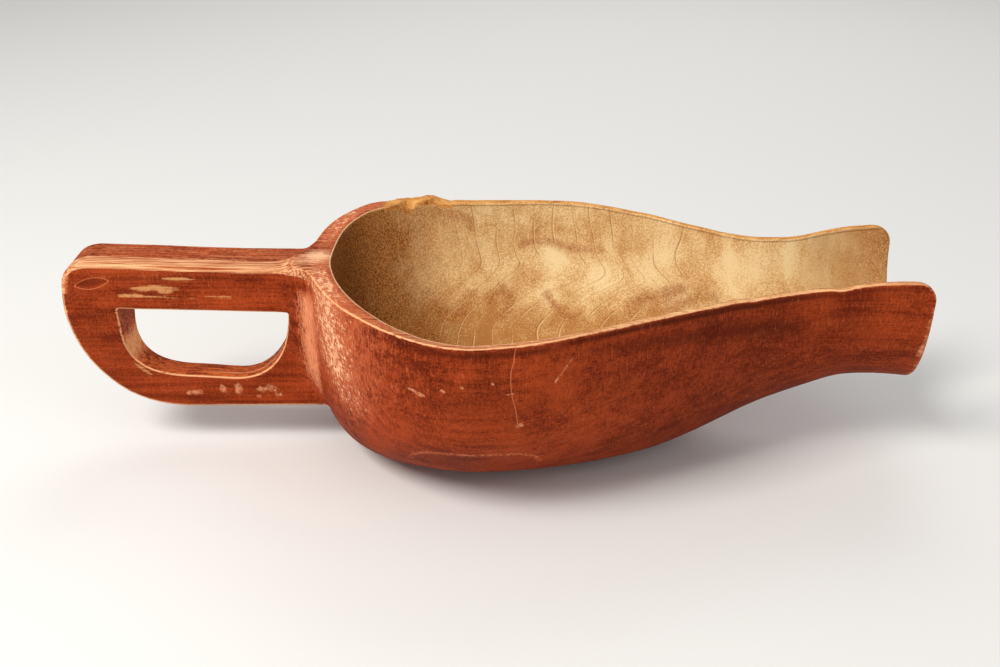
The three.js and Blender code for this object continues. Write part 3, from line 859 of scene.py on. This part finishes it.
def bare_edges(n, s, outer):
    """The near rim's bare wood, and the pale lines along the edges of the rim, the loop and the hand hole."""
    rim_edge = n.mark("rim_edge")
    rim_bare = n.step(n.plus((n.mark("rim"), 1.2), (s.grain, 0.5)), 0.2, 0.6)
    rim_bare = n.times(rim_bare, n.step(n.plus(rim_edge, s.speck), 1.1, 0.4))
    rim_bare = n.times(rim_bare, n.mix_value(n.step(s.x, 0.205, 0.23), 0.9, 0.35))
    streaks = n.step(n.plus(s.grain, (s.stipple, 0.6)), -0.2, 0.2)
    pink_wood = n.mix(streaks, RIM_PINK_DULL, RIM_PINK)
    cream_wood = n.mix(streaks, RIM_CREAM_DULL, RIM_CREAM)
    outer = n.mix(rim_bare, outer, n.mix(n.step(s.x, 0.03, 0.09), pink_wood, cream_wood))

    rim_line = n.times(n.line(rim_edge, 1.0), n.mix_value(n.step(s.x, 0.2, 0.225), 1.0, 0.4))
    loop_line = n.times(n.line(n.mark("loop_edge"), 1.5), n.mix_value(n.step(s.z, 0.09, 0.105), 0.75, 0.35))
    loop_line = n.times(loop_line, n.step(s.x, -0.084, -0.087))
    hole_line = n.times(n.line(n.mark("hole_edge"), 1.3), n.step(s.x, -0.09, -0.093))
    hole_ridge = n.times(n.line(n.plus((s.y, 1 / MM), 3.2), 0.9), n.mark("in_hole"))
    hole_ridge = n.times(hole_ridge, n.step(s.z, 0.085, 0.08), n.step(s.x, -0.165, -0.135), 0.6)
    unbroken = n.step(n.plus((s.grain, 1.6), (s.speck, 0.8)), -0.45, 0.0)
    sharp_lines = n.most(rim_line, loop_line, hole_line, hole_ridge)
    return n.mix(n.times(sharp_lines, unbroken, 0.85), outer, EDGE_LINE)


def hollow_wood(n, s):
    """The hollow: bare curly maple, stippled, with growth lines and stains, painted shade towards its floor,
    and dirt with painted shade at its round end, nearly black in the corner.

    Gives the colour, and the stipple's light grains.
    """
    figure = n.mark("figure")
    curl = n.noise((13, 24, 24), 9, detail=2, roughness=0.5)
    swirl = {"W": n.times(figure, 0.09), "Scale": 1.0, "Detail": 2.0}
    swirl = n.add("ShaderNodeTexNoise", swirl, noise_dimensions="1D")
    bands = n.math("SUBTRACT", swirl.outputs["Fac"], 0.5)
    grit = n.noise(1.1, 14, detail=4, roughness=0.85)
    salt = n.step(n.plus(grit, (s.stipple, 0.6)), -0.1, 0.1)
    shade = n.plus(0.4, (curl, 0.8), (s.clouds, 0.9), (bands, 0.5), (salt, 0.28))
    # Painted shade: the last term darkens the hollow towards its floor.
    shade = n.plus(shade, (s.stipple, 1.1), (n.mark("pale"), 0.44), (n.step(s.z, 0.066, 0.03), -0.6))
    maple = n.mix(n.step(shade, -0.2, 0.75), MAPLE_DULL, MAPLE)
    maple = n.mix(n.step(shade, 0.4, 1.1), maple, MAPLE_PALE)

    stains = n.mark("stains")
    stained = n.step(n.plus((stains, 1.1), (s.speck, 1.2), (s.clouds, 1.8), (s.hatch, 0.7)), 0.2, 1.6)
    stain = n.mix(salt, STAIN_DARK, STAIN_LIGHT)
    maple = n.mix(n.times(stained, n.step(stains, 0.0, 0.5), 0.75), maple, stain)
    # Dirt with painted shade at the hollow's round end.
    dirt_and_shade = n.plus((s.x, -1 / 0.05), -0.1, (s.clouds, 2.6), (s.blotch, 0.8), (s.stipple, 1.2))
    shaded_dirt = n.mix(salt, SHADED_DIRT_DARK, SHADED_DIRT_LIGHT)
    maple = n.mix(n.times(n.step(dirt_and_shade, -0.2, 1.3), 0.85), maple, shaded_dirt)
    # Nearly black painted shade in the round end's corner.
    corner_shade = n.mix(salt, CORNER_SHADE_DARK, CORNER_SHADE_LIGHT)
    maple = n.mix(n.times(n.step(n.plus(s.x, (s.z, 0.12)), -0.045, -0.07), 0.85), maple, corner_shade)

    ring = n.math("SUBTRACT", n.math("FRACT", n.plus((figure, 1 / RING_SPACING), -0.365)), 0.5)
    drawn = n.step(n.plus(n.noise(21, 12), (s.stipple, 0.2)), -0.14, 0.08)
    drawn = n.times(drawn, n.step(s.x, 0.155, 0.12), 0.5)
    maple = n.mix(n.times(n.line(ring, 0.046), drawn, n.step(s.x, -0.035, 0.0)), maple, RING_DARK)
    pale_line = n.times(n.line(n.plus(ring, -0.05), 0.04), drawn, n.step(s.x, -0.062, -0.05))
    maple = n.mix(pale_line, maple, n.mix(n.step(s.x, -0.04, 0.0), RING_DULL, RING_PALE))

    end_dirt = n.plus((s.x, 1 / 0.04), -5.1, (s.clouds, 2.0), (salt, 0.4), s.stipple)
    brown = n.mix(salt, MOUTH_DARK, MOUTH_LIGHT)
    return n.mix(n.times(n.step(end_dirt, -0.1, 1.3), 0.75), maple, brown), salt


def far_rim(n, s, colour, below_rim, inside):
    """The far rim's lip and its broken stretch, which are raw orange wood, with a line of painted shade inside,
    just under the lip.
    """
    far_side = n.times(n.step(s.y, 0.02, 0.035), n.step(s.x, -0.062, -0.05))
    lip = n.plus(below_rim, (s.speck, 1.2), (n.step(s.x, 0.0, 0.08), 0.6))
    tone = n.plus(n.noise((9, 1.5, 2.6), 13, detail=4, roughness=0.7), (s.stipple, 0.9), (s.clouds, 0.4))
    raw_wood = n.mix(n.step(tone, -0.3, 0.05), RAW_DARK, RAW_ORANGE)
    raw_wood = n.mix(n.step(tone, 0.0, 0.3), raw_wood, RAW_PALE)
    lip_wood = n.mix(n.step(tone, -0.25, 0.2), LIP_DULL, LIP_PALE)
    lip_colour = n.mix(n.step(s.x, -0.02, 0.02), raw_wood, lip_wood)
    colour = n.mix(n.times(far_side, n.step(lip, 1.8, 0.9), 0.85), colour, lip_colour)
    # Painted shade in a line just under the far lip, inside.
    lip_line = n.times(far_side, n.line(n.plus(below_rim, -1.9, (s.speck, 1.6)), 0.7), inside)
    colour = n.mix(n.times(lip_line, 0.5), colour, LIP_SHADE)
    return n.mix(n.step(n.plus(n.mark("raw"), s.speck), 0.3, 0.62), colour, raw_wood)


def painted_maple():
    """The scoop's one material, from its layers: painted outside and bare in the hollow."""
    material = bpy.data.materials.new("painted_maple")
    n = Nodes(material)
    s = shared_parts(n)
    hollow, below_rim = n.mark("hollow"), n.mark("below_rim")
    wear = n.plus(n.mark("worn"), n.plus((s.grain, 0.7), (s.speck, 0.6)))

    outer, rubbed = rub_heel_and_neck(n, s, worn_paint(n, s, wear))
    outer = rub_hand_hole(n, s, outer)
    outer, crack = scrapes_and_fine_lines(n, s, outer)
    outer = bare_edges(n, s, outer)
    maple, salt = hollow_wood(n, s)

    # The two meet along the rim's inner edge, in a line that is pale behind and darker ahead, where the dark is
    # painted shade just inside the rim.
    inside = n.step(n.plus(hollow, (s.stipple, 0.5)), 1.1, 0.6)
    edge_line = n.times(n.step(hollow, 0.2, 0.6), n.step(hollow, 1.7, 1.0))
    edge_line = n.times(edge_line, n.step(below_rim, 4.0, 2.0), n.step(s.x, 0.235, 0.21), 0.85)
    outer = n.mix(edge_line, outer, n.mix(n.step(s.x, 0.0, 0.06), INNER_EDGE_PALE, INNER_EDGE_SHADE))
    colour = far_rim(n, s, n.mix(inside, outer, maple), below_rim, inside)
    n.wire(n.shader.inputs["Base Color"], colour)

    n.shader.inputs["Specular IOR Level"].default_value = 0.05
    bared = n.step(wear, 0.4, 0.8)
    roughness = n.plus(0.58, (s.blotch, 0.12), (s.stipple, 0.15), (inside, 0.1), (bared, -0.05))
    n.wire(n.shader.inputs["Roughness"], roughness)
    height = n.plus(
        (s.grain, 0.10), (s.stipple, 0.09), (s.hatch, 0.04), (bared, -0.07), (rubbed, -0.13), (crack, -0.25),
        (n.times(salt, inside), 0.03))
    bumps = n.add("ShaderNodeBump", {"Height": n.times(height, MM), "Distance": 1.0, "Strength": 1.0})
    n.wire(n.shader.inputs["Normal"], bumps.outputs[0])
    return material


# ---- Camera, floor and lights ------------------------------------------------------------------------------
VIEW_ELEVATION = math.radians(25)
VIEW_DISTANCE = 0.7339
VIEW_TARGET = Vector((0.015, 0, 0.0674))
SENSOR_WIDTH, FOCAL_LENGTH = 36, 45.317
FLOOR_SIZE, FLOOR_DROP = 60, 0.0002  # the drop keeps the floor clear of the scoop's base
FLOOR_COLOUR, WORLD_COLOUR, WORLD_STRENGTH = (0.82, 0.82, 0.81, 1), (1, 0.99, 0.97, 1), 0.42
LIGHTS = [  # name, place, size, power and colour
    ("key", (-0.95, -0.75, 1.35), 0.7, 26, (1, 0.965, 0.91)),
    ("fill", (1.2, -1.1, 0.9), 1.2, 5, (0.97, 0.98, 1)),
    ("back", (0.3, 1.4, 1.3), 1.2, 7, (1, 1, 1)),
]


def add_camera():
    data = bpy.data.cameras.new("camera")
    data.sensor_width = SENSOR_WIDTH
    data.lens = FOCAL_LENGTH
    camera = bpy.data.objects.new("camera", data)
    bpy.context.collection.objects.link(camera)
    away = Vector((0, -math.cos(VIEW_ELEVATION), math.sin(VIEW_ELEVATION)))
    camera.location = VIEW_TARGET + away * VIEW_DISTANCE
    camera.rotation_euler = (math.pi / 2 - VIEW_ELEVATION, 0, 0)
    bpy.context.scene.camera = camera


def add_floor():
    bpy.ops.mesh.primitive_plane_add(size=FLOOR_SIZE, location=(0, 0, -FLOOR_DROP))
    floor = bpy.context.object
    floor.name = "floor"
    material = bpy.data.materials.new("pale_floor")
    material.use_nodes = True
    shader = material.node_tree.nodes["Principled BSDF"]
    shader.inputs["Base Color"].default_value = FLOOR_COLOUR
    shader.inputs["Roughness"].default_value = 0.9
    floor.data.materials.append(material)


def add_light(name, place, size, power, colour):
    data = bpy.data.lights.new(name, "AREA")
    data.size = size
    data.energy = power
    data.color = colour
    light = bpy.data.objects.new(name, data)
    bpy.context.collection.objects.link(light)
    light.location = place
    aim = VIEW_TARGET - Vector(place)
    light.rotation_euler = aim.to_track_quat("-Z", "Y").to_euler()


def light_scene():
    world = bpy.data.worlds.new("soft_studio")
    world.use_nodes = True
    background = world.node_tree.nodes["Background"]
    background.inputs["Color"].default_value = WORLD_COLOUR
    background.inputs["Strength"].default_value = WORLD_STRENGTH
    bpy.context.scene.world = world
    for light in LIGHTS:
        add_light(*light)
    bpy.context.scene.view_settings.view_transform = "Standard"


# ---- Assembly ----------------------------------------------------------------------------------------------
add_camera()
add_floor()
light_scene()
scoop = make_scoop()
scoop.data.materials.append(painted_maple())
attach(scoop, "root")
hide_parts("bowl", "handle")
